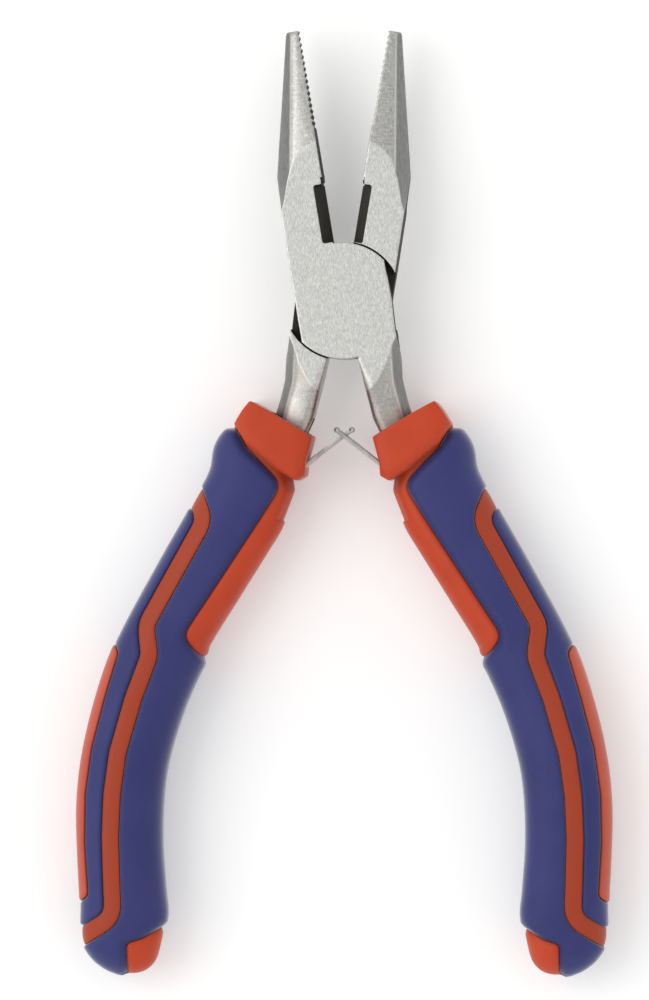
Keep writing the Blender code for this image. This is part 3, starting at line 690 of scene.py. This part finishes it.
class Grip:
    """The unrolled mesh and regions that the core, overmould and pad share."""

    def __init__(self):
        self.surface = surface = GripSurface()
        stripe = dense(rounded(STRIPE_LINE, 3.0), 0.2)
        edges = {STRIP: rounded(STRIP_EDGE, 2.0), RIB: rounded(RIB_EDGE, 1.0), TAIL: rounded(TAIL_EDGE, 0.9)}
        closing = {STRIP: [(-8.0, -50.3), (-8.0, -12.0), (14.0, -12.0)],
                   RIB: [(30.0, -83.0), (30.0, -45.8)],
                   TAIL: [(-8.0, -92.0), (-8.0, -80.6)]}
        flat = {key: surface.flatten(dense(line, 0.15)) for key, line in edges.items()}
        left = surface.flatten(side_line(stripe, STRIPE_WIDTH / 2))
        right = surface.flatten(side_line(stripe, -STRIPE_WIDTH / 2))
        self.regions = {key: np.vstack([flat[key], surface.flatten(closing[key])]) for key in flat}
        self.regions[STRIPE] = np.vstack([left, right[::-1]])
        lines = [dense(line[np.abs(line[:, 0]) < 13.0], 0.3) for line in [*flat.values(), left, right]]
        step = np.interp(-FACET_END, -surface.b, surface.y)
        side = -surface.girth(step) / 2
        lines += [dense([(side + 0.02, y), (side + FACET_WIDTH, y)], 0.2) for y in (step, step + 0.06)]
        offsets = (0.045, 0.11, 0.25, 0.45, 0.7)
        self.vertices, self.triangles = mesh_plane(surface.outline(), lines, offsets, spacing=0.5)
        middle = self.vertices[self.triangles].mean(1)
        self.labels = np.full(len(middle), BLUE)
        for key in (STRIP, RIB, TAIL, STRIPE):
            self.labels[inside(middle, self.regions[key])] = key
        self.reach = {key: distance(self.vertices, [line]) for key, line in flat.items()}
        self.reach[STRIPE] = distance(self.vertices, [left, right])
        outer = np.vstack([left, surface.flatten([(40.0, -92.0), (40.0, -12.0)])])
        self.outer = inside(middle, outer)
        nearest = np.min(list(self.reach.values()), axis=0)
        # bevel: the blue's edge band beside the strip and tail, whose colour is painted darker as shade
        bevel = np.minimum(self.reach[STRIP], self.reach[TAIL])
        # seam: near every red and blue boundary, where the colour is painted darker as shade in the gaps
        self.values = {"seam": np.clip(1 - nearest / 0.3, 0, 1),
                       "stripe": inside(self.vertices, self.regions[STRIPE]).astype(float),
                       # the outer rib, where a painted sheen lightens the red
                       "rib": inside(self.vertices, self.regions[RIB]).astype(float),
                       "bevel": 1 - np.clip((bevel - 0.6) / 0.2, 0, 1)}
        # The strip dips below the collar, and has a facet on its side that ends in a step.
        below = distance(self.vertices, [surface.flatten(dense(rounded(COLLAR[4:9], 0.45), 0.2))])
        self.dip = GROOVE_DEPTH * np.interp(below, (0.2, 1.7), (1, 0))
        x, y = self.vertices.T
        from_side = x + surface.girth(y) / 2
        deep = FACET_DEPTH * np.interp(y, (step - FACET_LENGTH, step), (0.3, 1.0))
        facet = deep * np.clip((FACET_WIDTH - from_side) / FACET_BEVEL, 0, 1)
        self.dip += np.where(y < step + 0.03, facet, 0)
        # Below the collar the strip also gets the stripe's darker colour, as painted shade.
        self.values["stripe"] = np.maximum(self.values["stripe"], 0.9 * np.interp(below, (0.9, 2.1), (1, 0)))

    def height(self, label, _):
        """Height of every vertex on the side of a label."""
        reach = self.reach
        if label == BLUE:
            wide = np.minimum(reach[STRIP], reach[TAIL])
            narrow = np.minimum(reach[STRIPE], reach[RIB])
            return np.minimum(profile(wide, BEVEL), profile(narrow, SEAM))
        shape = {STRIP: SUNK, TAIL: SUNK, STRIPE: FLUSH, RIB: PROUD}[label]
        return profile(reach[label], shape) - (self.dip if label == STRIP else 0)

    def piece(self, name, solid, cap=False):
        """A piece from what relief returns, front and back."""
        points, owners, faces, _ = solid
        values = {key: value[owners] for key, value in self.values.items()}
        return make_object(name, self.surface.raise_points(points), [face[::-1] for face in faces],
                           values=values, mirror=True, cap=cap)

    def shell(self, name, keep):
        """A blue piece: the kept triangles as a closed shell."""
        length = self.surface.girth(self.vertices[:, 1])
        seam = np.abs(np.abs(self.vertices[:, 0]) - length / 2) < 2e-4 * length
        keep = (self.labels == BLUE) & keep
        return self.piece(name, relief(self.vertices, self.triangles[keep], self.labels[keep],
                                       self.height, lambda label, points: -SHELL_THICKNESS, seam))

    def overmould(self, name):
        return self.shell(name, ~self.outer)

    def pad(self, name):
        return self.shell(name, self.outer)

    def core(self, name):
        def height(label, points):
            return -CORE_DEPTH if label == BLUE else self.height(label, points)

        return self.piece(name, relief(self.vertices, self.triangles, self.labels, height, None), cap=True)


def pocket_ring(b, centre, half_width, half_depth, power=5.0, count=40):
    """A section of the pocket, a rectangle with rounded corners."""
    angle = 2 * math.pi * (np.arange(count) + 0.5) / count
    across = np.sign(np.cos(angle)) * np.abs(np.cos(angle)) ** (2 / power)
    deep = np.sign(np.sin(angle)) * np.abs(np.sin(angle)) ** (2 / power)
    return np.stack([centre + across * half_width, np.full(count, b), deep * half_depth], 1)


def loft(name, rings):
    """A closed solid through rings of points that match one to one."""
    count = len(rings[0])
    faces = [list(range(count))[::-1], list(range(count * (len(rings) - 1), count * len(rings)))]
    for row in range(len(rings) - 1):
        for index in range(count):
            after = (index + 1) % count
            near, far = row * count, (row + 1) * count
            faces.append([near + index, near + after, far + after, far + index])
    return make_object(name, np.vstack(rings), faces, outward=True)


def make_collar(name):
    """The raised red flange at the top of a grip."""
    seam = tuple((Vector(COLLAR[-1]) + Vector(COLLAR[0])) / 2)
    outline = dense(rounded([seam] + COLLAR + [seam], 0.28)[:-1], 0.25)[:-1]
    offsets = (0.04, 0.12, 0.25, 0.45, 0.75, 1.1)
    vertices, triangles = mesh_plane(outline, [], offsets, spacing=0.4)
    edge = distance(vertices, [closed(outline)])
    below = distance(vertices, [rounded(COLLAR[4:9], 0.45)])

    def top(label, points):
        a, b = points.T
        centre = np.interp(-b, (13.0, 25.0), (5.9, 7.0))
        half = np.interp(-b, (13.0, 25.0), (5.2, 6.2))
        section = COLLAR_DEPTH * (1 - np.clip(np.abs(a - centre) / (half + 0.35), 0, 0.999) ** 5) ** 0.2
        return section - edge_drop(edge, 0.25) - np.interp(below, (0, 0.7, 0.85, 1.0), (0.7, 0.1, 0.02, 0))

    points, _, faces, _ = relief(vertices, triangles, np.zeros(len(triangles), int), top,
                                 lambda label, points: -top(label, points))
    return make_object(name, points, faces)


def make_core(name, grip):
    """The red core with its collar and pocket. Booleans garble point attributes, so they are put back."""
    core = grip.core(name)
    known = KDTree(len(core.data.vertices))
    for index, vertex in enumerate(core.data.vertices):
        known.insert(vertex.co, index)
    known.balance()
    values = {key: [item.value for item in core.data.attributes[key].data] for key in grip.values}
    trim = [np.array([(a, b, z) for a, b in CORE_TRIM]) for z in (-8.0, 8.0)]
    pocket = [pocket_ring(*row) for row in POCKET]
    combine(core, loft("trim", trim), "DIFFERENCE")
    combine(core, make_collar("collar"), "UNION")
    combine(core, loft("pocket", pocket), "DIFFERENCE")
    found = [known.find(vertex.co)[1:] for vertex in core.data.vertices]
    for key, value in values.items():
        kept = core.data.attributes.get(key) or core.data.attributes.new(key, "FLOAT", "POINT")
        kept.data.foreach_set("value", [value[index] if gap < 1e-3 else 0.0 for index, gap in found])
    return core


# ---- springs and rivet

def make_spring(name, has_tongue):
    """A leaf with a rolled eye at its end. One has a slot, the other a tongue that passes through it."""
    line = dense(rounded(SPRING_LINE, 1.5), 0.25)
    left, right = side_line(line, SPRING_HALF_THICKNESS), side_line(line, -SPRING_HALF_THICKNESS)
    tip = line[0]
    along = (tip - line[1]) / norm(tip - line[1])
    across = np.array([-along[1], along[0]])
    turn = np.radians(np.linspace(135, -135, 25))[:, None]
    roll = tip + (along * np.cos(turn) + across * np.sin(turn)) * ROLL_RADIUS
    outline = np.vstack([left[:0:-1], roll[::-1], right[1:]])
    eye = arc(EYE_RADIUS, 0, 360, 20) + tip
    walked = np.concatenate([[0], norm(np.diff(line, axis=0), axis=1).cumsum()])
    cuts = []
    for place in (TONGUE_SPAN if has_tongue else SLOT_SPAN):
        middle = np.array([np.interp(place, walked, line[:, axis]) for axis in (0, 1)])
        normal = side_normals(line)[np.searchsorted(walked, place)]
        cuts.append(dense([middle + normal * 0.6, middle - normal * 0.6], 0.1))
    vertices, triangles = mesh_plane(outline, [eye] + cuts, offsets=(0.04, 0.1), spacing=0.22)
    middle = vertices[triangles].mean(1)
    kept = norm(middle - tip, axis=1) > EYE_RADIUS
    triangles, middle = triangles[kept], middle[kept]
    band = np.vstack([cuts[0], cuts[1][::-1]])
    labels = inside(middle, band).astype(int)
    edge = distance(vertices, [closed(outline), eye])

    def top(label, points):
        width = TONGUE_HALF_WIDTH if label and has_tongue else SPRING_HALF_WIDTH
        return width - edge_drop(edge, 0.09)

    def bottom(label, points):
        return SLOT_HALF_WIDTH if label and not has_tongue else 0.0

    points, _, faces, _ = relief(vertices, triangles, labels, top, bottom)
    shown = [face for face in faces if any(points[vertex][2] > 1e-6 for vertex in face)]
    return make_object(name, points, shown, mirror=True)


def make_rivet(name):
    """The pin with its countersunk head, whose face is turned slightly hollow round a centre mark."""
    half = HALF_THICKNESS
    low = -half + RIVET_COVER + 0.1
    turned = [(0.02, low), (RIVET_RADIUS - 0.25, low), (RIVET_RADIUS, low + 0.25),
              (RIVET_RADIUS, half - RIVET_HEAD_RADIUS + RIVET_RADIUS),
              (RIVET_HEAD_RADIUS - 0.06, half - 0.08), (RIVET_HEAD_RADIUS - 0.14, half), (2.6, half + 0.03),
              (1.8, half + 0.045), (0.75, half + 0.05), (0.62, half), (0.5, half - 0.05),
              (0.2, half - 0.09), (0.02, half - 0.1)]
    ring = arc(1.0, 0, 360, 72)[:-1]
    return loft(name, [np.insert(ring * radius, 2, z, axis=1) for radius, z in turned])


# ---- materials

class Nodes:
    """The node tree of a material or a world."""

    def __init__(self, owner):
        owner.use_nodes = True
        self.tree = owner.node_tree

    def put(self, socket, value):
        if isinstance(value, bpy.types.NodeSocket):
            self.tree.links.new(value, socket)
        else:
            socket.default_value = value

    def fill(self, node, **values):
        """A node with inputs filled by name."""
        for key, value in values.items():
            self.put(node.inputs[key.replace("_", " ")], value)
        return node

    def node(self, kind, *inputs, **settings):
        """A node with its first inputs filled."""
        made = self.tree.nodes.new("ShaderNode" + kind)
        for key, value in settings.items():
            setattr(made, key, value)
        for socket, value in zip(made.inputs, inputs):
            self.put(socket, value)
        return made

    def span(self, value, low=0.3, high=0.7, to_low=0.0, to_high=1.0):
        """Map a value's range smoothly to another."""
        return self.node("MapRange", value, low, high, to_low, to_high,
                         interpolation_type="SMOOTHSTEP").outputs[0]


class Paint(Nodes):
    """A node material in the closed frame's millimetres."""

    def __init__(self, name, **settings):
        self.material = bpy.data.materials.new(name)
        super().__init__(self.material)
        self.shader = self.tree.nodes["Principled BSDF"]
        self.local = self.node("Attribute", attribute_name="local").outputs["Vector"]
        self.set(**settings)

    def set(self, **values):
        """Fill the shader's inputs by name."""
        self.fill(self.shader, **values)

    def axis(self, name):
        """One coordinate of the closed frame in millimetres."""
        return self.node("SeparateXYZ", self.local).outputs[name]

    def attribute(self, name):
        return self.node("Attribute", attribute_name=name).outputs["Fac"]

    def noise(self, scale, detail=3.0, roughness=0.55):
        """Noise whose scale is per millimetre along a, b and z."""
        scale = scale if isinstance(scale, tuple) else (scale,) * 3
        stretched = self.node("VectorMath", self.local, scale, operation="MULTIPLY").outputs[0]
        node = self.node("TexNoise")
        self.fill(node, Vector=stretched, Scale=1.0, Detail=detail, Roughness=roughness)
        return node.outputs["Fac"]

    def math(self, operation, *values):
        return self.node("Math", *values, operation=operation).outputs[0]

    def mix(self, share, first, second):
        """Mix two colours."""
        node = self.node("Mix", share, data_type="RGBA")
        for socket, colour in zip(node.inputs[6:8], (first, second)):
            self.put(socket, colour if isinstance(colour, bpy.types.NodeSocket) else (*colour, 1.0))
        return node.outputs[2]

    def flecks(self, colour, pattern, low, high, most, tint):
        """A colour tinted, by a share up to most, where a pattern goes from low to high."""
        return self.mix(self.span(pattern, low, high, 0.0, most), colour, tint)

    def tinted(self, colour, name, most, tint):
        """A colour tinted where a point attribute is high."""
        return self.mix(self.math("MULTIPLY", self.attribute(name), most), colour, tint)

    def blend(self, share, first, second):
        """Mix two values."""
        return self.math("MULTIPLY_ADD", share, self.math("SUBTRACT", second, first), first)

    def bump(self, height, strength, depth):
        """Add relief of some millimetres."""
        node = self.fill(self.node("Bump"), Strength=strength, Distance=depth * MM, Height=height)
        if self.shader.inputs["Normal"].links:
            self.put(node.inputs["Normal"], self.shader.inputs["Normal"].links[0].from_socket)
        self.set(Normal=node.outputs[0])


def ground_steel():
    """Belt-ground flats with a short lengthwise grain, turned bands marked across, smooth sides painted
    darker as shade, and a painted highlight along the knuckle crease.
    """
    paint = Paint("ground_steel", Metallic=1.0)
    turned = paint.attribute("turned")
    side = paint.math("MULTIPLY", turned, paint.attribute("side"))
    grain = paint.noise((11.0, 2.0, 11.0), 4.0, 0.65)
    hair = paint.noise((20.0, 5.0, 20.0), 2.0)
    fleck = paint.noise((6.5, 1.5, 6.5), 5.0, 0.65)
    rings = paint.noise((0.9, 5.0, 0.9), 4.0, 0.65)
    scratch = paint.noise((1.6, 14.0, 1.6), 3.0, 0.6)
    streak = paint.noise((5.0, 0.35, 5.0), 3.0, 0.6)
    cloud = paint.noise(0.35, 3.0)
    flat = paint.mix(paint.span(grain, 0.32, 0.68), (0.47, 0.47, 0.452), (0.72, 0.72, 0.692))
    flat = paint.flecks(flat, fleck, 0.54, 0.74, 0.7, (0.93, 0.93, 0.90))
    flat = paint.flecks(flat, fleck, 0.46, 0.28, 0.5, (0.32, 0.32, 0.303))
    band = paint.mix(paint.span(rings), (0.385, 0.38, 0.362), (0.54, 0.535, 0.513))
    band = paint.flecks(band, scratch, 0.58, 0.75, 0.4, (0.74, 0.73, 0.70))
    band = paint.flecks(band, fleck, 0.53, 0.70, 0.6, (0.86, 0.86, 0.83))
    band = paint.flecks(band, fleck, 0.47, 0.30, 0.6, (0.22, 0.217, 0.205))
    heel = paint.span(paint.axis("Y"), -5.0, -8.0)
    brown = paint.math("MULTIPLY", heel, paint.span(cloud, 0.35, 0.65, 0.05, 0.6))
    band = paint.mix(brown, band, (0.46, 0.425, 0.375))
    # The side facets get a darker colour: painted shade.
    painted_side_shade = paint.mix(paint.span(streak), (0.175, 0.175, 0.169), (0.245, 0.245, 0.236))
    colour = paint.mix(side, paint.mix(turned, flat, band), painted_side_shade)
    # A thin painted highlight along the knuckle crease.
    crease = paint.math("MULTIPLY", turned, paint.attribute("crease"))
    colour = paint.mix(paint.math("MULTIPLY", crease, 0.55), colour, (0.72, 0.72, 0.70))
    paint.set(Base_Color=colour)
    rough_flat = paint.span(hair, to_low=0.38, to_high=0.5)
    rough_band = paint.span(rings, to_low=0.32, to_high=0.44)
    paint.set(Roughness=paint.blend(turned, rough_flat, rough_band))
    paint.bump(paint.blend(side, paint.blend(turned, grain, rings), streak), 0.45, 0.02)
    paint.bump(paint.blend(side, paint.blend(turned, hair, scratch), streak), 0.35, 0.008)
    return paint.material


def black_oxide():
    """Unground forging skin, blackened, with a few rubbed spots."""
    paint = Paint("black_oxide", Metallic=0.0, Specular_IOR_Level=0.15)
    skin = paint.noise(2.6, 5.0, 0.7)
    rub = paint.noise((1.2, 0.6, 1.2), 4.0, 0.6)
    colour = paint.mix(paint.span(skin), (0.024, 0.0215, 0.0175), (0.055, 0.049, 0.042))
    paint.set(Base_Color=paint.flecks(colour, rub, 0.66, 0.8, 0.5, (0.17, 0.16, 0.145)),
              Roughness=paint.span(skin, to_low=0.55, to_high=0.75))
    paint.bump(skin, 0.5, 0.03)
    return paint.material


def red_plastic():
    """Moulded red plastic with a fine satin texture, duller in the stripe, with painted shade along the
    seams and just below the collar, and a painted sheen on the outer rib.
    """
    paint = Paint("red_plastic", Metallic=0.0, Specular_IOR_Level=0.3,
                  Sheen_Weight=0.3, Sheen_Roughness=0.25)
    cloud = paint.noise(0.12, 3.0)
    grit = paint.noise(6.5, 3.0, 0.6)
    dust = paint.noise(2.2, 4.0, 0.7)
    colour = paint.mix(paint.span(cloud), (0.455, 0.042, 0.008), (0.51, 0.049, 0.011))
    # The stripe's own duller colour, and painted shade on the strip just below the collar.
    colour = paint.tinted(colour, "stripe", 0.85, (0.32, 0.038, 0.010))
    # A painted sheen: the outer rib tinted lighter and pinker.
    colour = paint.tinted(colour, "rib", 0.3, (0.46, 0.14, 0.105))
    colour = paint.flecks(colour, dust, 0.58, 0.8, 0.3, (0.60, 0.12, 0.06))
    # Painted shade along the red and blue seams.
    colour = paint.flecks(colour, paint.attribute("seam"), 0.35, 1.0, 0.7, (0.10, 0.014, 0.010))
    paint.set(Base_Color=colour, Roughness=paint.span(grit, to_low=0.44, to_high=0.56))
    paint.bump(grit, 0.25, 0.012)
    return paint.material


def blue_rubber():
    """Matte blue rubber with a fine spark-eroded grain, with painted shade along the seams and on the bevel
    beside the strip and tail.
    """
    paint = Paint("blue_rubber", Metallic=0.0, Specular_IOR_Level=0.35,
                  Sheen_Weight=0.9, Sheen_Roughness=0.32)
    cloud = paint.noise(0.1, 3.0)
    grit = paint.noise(5.0, 3.0, 0.65)
    speck = paint.noise(1.8, 4.0, 0.7)
    colour = paint.mix(paint.span(cloud), (0.020, 0.024, 0.128), (0.026, 0.030, 0.149))
    colour = paint.flecks(colour, speck, 0.6, 0.8, 0.3, (0.05, 0.053, 0.17))
    # The blue's bevel band beside the strip and tail is painted darker: painted shade.
    colour = paint.tinted(colour, "bevel", 0.6, (0.010, 0.014, 0.095))
    # Painted shade along the red and blue seams.
    colour = paint.flecks(colour, paint.attribute("seam"), 0.45, 1.0, 0.6, (0.012, 0.012, 0.04))
    paint.set(Base_Color=colour, Roughness=paint.span(grit, to_low=0.5, to_high=0.66))
    paint.bump(grit, 0.35, 0.018)
    return paint.material


def spring_steel():
    """Bright rolled strip with marks along it."""
    paint = Paint("spring_steel", Metallic=1.0)
    mark = paint.noise((0.5, 0.5, 9.0), 3.0, 0.5)
    paint.set(Base_Color=paint.mix(paint.span(mark), (0.38, 0.375, 0.365), (0.56, 0.555, 0.545)),
              Roughness=paint.span(mark, to_low=0.26, to_high=0.34))
    paint.bump(mark, 0.15, 0.004)
    return paint.material


def rivet_steel():
    """Faced steel with turning rings."""
    paint = Paint("rivet_steel", Metallic=1.0)
    flat = paint.node("VectorMath", paint.local, (1.0, 1.0, 0.0), operation="MULTIPLY")
    radius = paint.node("VectorMath", flat.outputs[0], operation="LENGTH").outputs["Value"]
    wobble = paint.math("MULTIPLY", paint.noise(0.8, 2.0), 3.0)
    rings = paint.math("SINE", paint.math("MULTIPLY_ADD", radius, 34.0, wobble))
    grime = paint.noise(1.4, 4.0, 0.7)
    colour = paint.mix(paint.span(rings, -1.0, 1.0), (0.46, 0.455, 0.44), (0.62, 0.615, 0.60))
    paint.set(Base_Color=paint.flecks(colour, grime, 0.55, 0.8, 0.4, (0.30, 0.29, 0.27)),
              Roughness=paint.span(grime, to_low=0.3, to_high=0.42))
    paint.bump(rings, 0.3, 0.008)
    return paint.material


# ---- assembly

def make_pliers():
    """Both halves with their leaf springs, and the rivet."""
    steel, oxide, red, blue = ground_steel(), black_oxide(), red_plastic(), blue_rubber()
    spring_metal, rivet_metal = spring_steel(), rivet_steel()
    grip = Grip()
    for half, other, front in (("front", "rear", True), ("rear", "front", False)):
        body = half + "_half"
        for obj, node, slot, materials in (
                (make_lever(half + "_forging", front), "lever_", "steel", [steel, oxide]),
                (make_core(half + "_grip_core", grip), "core_", "red_core", [red]),
                (grip.overmould(half + "_grip_overmould"), "overmould_", "blue_overmould", [blue]),
                (grip.pad(half + "_grip_pad"), "pad_", "blue_overmould", [blue])):
            finish_piece(obj, front, body, [node + half], materials)
        spring = make_spring(half + "_leaf_spring", not front)
        finish_piece(spring, front, None, ["spring_" + half], [spring_metal])
        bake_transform(spring)
    finish_piece(make_rivet("joint_rivet"), False, "rear_half", ["rivet"], [rivet_metal])


FLOOR_GAP = 0.00005
CAMERA_TARGET = Vector((-0.0025, -0.0254, HALF_THICKNESS * MM))
CAMERA_TILT = math.radians(3.0)
CAMERA_DISTANCE = 0.9
FRAME_HEIGHT = 0.128


def make_floor():
    """White paper just under the object, far wider than the view."""
    mesh = bpy.data.meshes.new("floor")
    reach = 3.0
    low = CAD_BOX[0].z - FLOOR_GAP
    corners = [(-reach, -reach, low), (reach, -reach, low), (reach, reach, low), (-reach, reach, low)]
    mesh.from_pydata(corners, [], [(0, 1, 2, 3)])
    floor = add_object("floor", mesh)
    paint = Paint("floor_paper", Roughness=0.9, Base_Color=(0.82, 0.82, 0.817, 1.0), Specular_IOR_Level=0.1,
                  Emission_Color=(1.0, 1.0, 1.0, 1.0), Emission_Strength=0.22)
    mesh.materials.append(paint.material)


def add_light(name, place, target, size, power):
    light = bpy.data.lights.new(name, "AREA")
    light.shape = "RECTANGLE"
    light.size, light.size_y = size
    light.energy = power
    lamp = add_object(name, light)
    lamp.location = place
    lamp.rotation_euler = (Vector(target) - Vector(place)).to_track_quat("-Z", "Y").to_euler()


def make_studio():
    """A white surround, brighter at the sides than overhead, and one large lamp on the left."""
    scene = bpy.context.scene
    scene.view_settings.view_transform = "Standard"
    scene.view_settings.look = "None"
    scene.world = bpy.data.worlds.new("studio")
    nodes = Nodes(scene.world)
    direction = nodes.node("SeparateXYZ", nodes.node("TexCoord").outputs["Generated"])
    background = nodes.tree.nodes["Background"]
    strength = nodes.span(direction.outputs["Z"], 0.0, 0.9, 1.09, 0.80)
    nodes.fill(background, Color=(1.0, 1.0, 0.995, 1.0), Strength=strength)
    add_light("key", place=(-0.75, 0.12, 0.95), target=(0.0, -0.02, 0.0), size=(0.88, 0.88), power=4.5)


def make_camera():
    """A long lens looking down at the flat of the object, slightly from the right."""
    camera = bpy.data.cameras.new("camera")
    camera.sensor_width = 36.0
    camera.lens = camera.sensor_width * CAMERA_DISTANCE / FRAME_HEIGHT
    camera.clip_start, camera.clip_end = 0.01, 20.0
    obj = add_object("camera", camera)
    away = Vector((math.sin(CAMERA_TILT), 0.0, math.cos(CAMERA_TILT)))
    obj.location = CAMERA_TARGET + away * CAMERA_DISTANCE
    obj.rotation_euler = (0.0, CAMERA_TILT, 0.0)
    bpy.context.scene.camera = obj


make_pliers()
make_floor()
make_studio()
make_camera()
